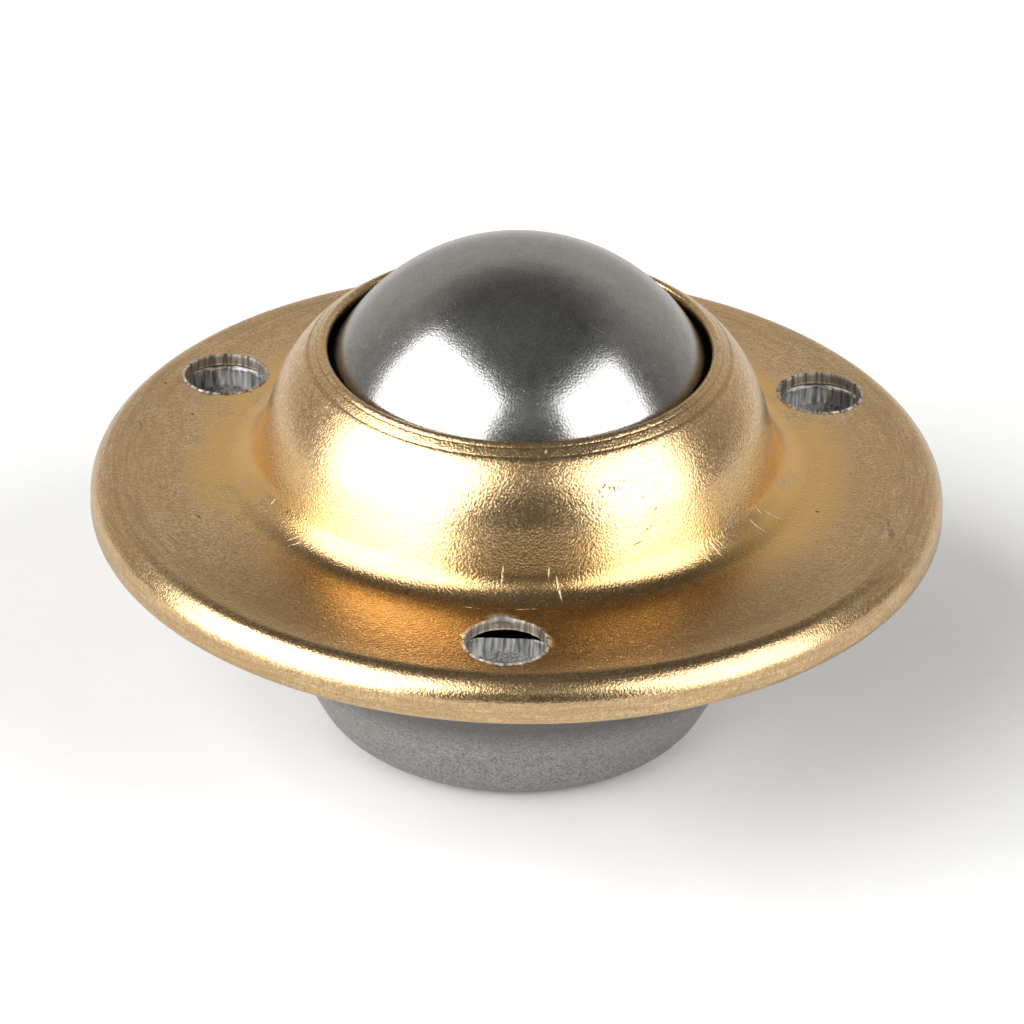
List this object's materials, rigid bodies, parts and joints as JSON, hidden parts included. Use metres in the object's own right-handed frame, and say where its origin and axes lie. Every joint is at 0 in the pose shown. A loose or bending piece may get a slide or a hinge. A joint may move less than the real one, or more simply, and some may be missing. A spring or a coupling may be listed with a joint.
{
  "type": "ball transfer unit",
  "caption": "Flange-mounted ball transfer unit: a steel load ball on a bed of small balls in a pressed cup, held by a crimped zinc-plated cap.",
  "frame": {"origin": "on the unit's axis, in the plane of the crimped rim's underside, which sits on the table or deck", "axes": "+Z along the axis, up through the top of the load ball; -Y towards one of the mounting holes"},
  "size_m": [0.0516, 0.0516, 0.0316],
  "materials": {
    "zinc_gold": "yellow zinc plating with a fine peened grain",
    "cup_steel": "bare pressed steel, matt",
    "seat_steel": "hardened, ground bowl",
    "ball_steel": "polished steel with fine scratches",
    "bed_steel": "polished steel"
  },
  "bodies": {
    "housing": {"top_cap": "zinc_gold", "lower_cup": "cup_steel", "ball_seat": "seat_steel"},
    "support_balls": {"support_ball_01": "bed_steel", "support_ball_02": "bed_steel", "support_ball_03": "bed_steel", "support_ball_04": "bed_steel", "support_ball_05": "bed_steel", "support_ball_06": "bed_steel", "support_ball_07": "bed_steel", "support_ball_08": "bed_steel", "support_ball_09": "bed_steel", "support_ball_10": "bed_steel", "support_ball_11": "bed_steel", "support_ball_12": "bed_steel", "support_ball_13": "bed_steel", "support_ball_14": "bed_steel", "support_ball_15": "bed_steel", "support_ball_16": "bed_steel", "support_ball_17": "bed_steel", "support_ball_18": "bed_steel", "support_ball_19": "bed_steel", "support_ball_20": "bed_steel", "support_ball_21": "bed_steel", "support_ball_22": "bed_steel", "support_ball_23": "bed_steel", "support_ball_24": "bed_steel", "support_ball_25": "bed_steel", "support_ball_26": "bed_steel", "support_ball_27": "bed_steel", "support_ball_28": "bed_steel", "support_ball_29": "bed_steel", "support_ball_30": "bed_steel", "support_ball_31": "bed_steel", "support_ball_32": "bed_steel", "support_ball_33": "bed_steel", "support_ball_34": "bed_steel", "support_ball_35": "bed_steel", "support_ball_36": "bed_steel", "support_ball_37": "bed_steel", "support_ball_38": "bed_steel", "support_ball_39": "bed_steel", "support_ball_40": "bed_steel", "support_ball_41": "bed_steel", "support_ball_42": "bed_steel", "support_ball_43": "bed_steel", "support_ball_44": "bed_steel", "support_ball_45": "bed_steel", "support_ball_46": "bed_steel", "support_ball_47": "bed_steel", "support_ball_48": "bed_steel", "support_ball_49": "bed_steel", "support_ball_50": "bed_steel", "support_ball_51": "bed_steel", "support_ball_52": "bed_steel", "support_ball_53": "bed_steel", "support_ball_54": "bed_steel", "support_ball_55": "bed_steel"},
    "load_ball": {"load_ball": "ball_steel"}
  },
  "joints": [
    {"name": "bed_circulation", "type": "hinge", "parent": "housing", "child": "support_balls", "pos_m": [0, 0, 0.0051], "axis": [0, 0, 1], "continuous": true},
    {"name": "ball_roll", "type": "hinge", "parent": "support_balls", "child": "load_ball", "pos_m": [0, 0, 0.0051], "axis": [1, 0, 0], "continuous": true}
  ]
}
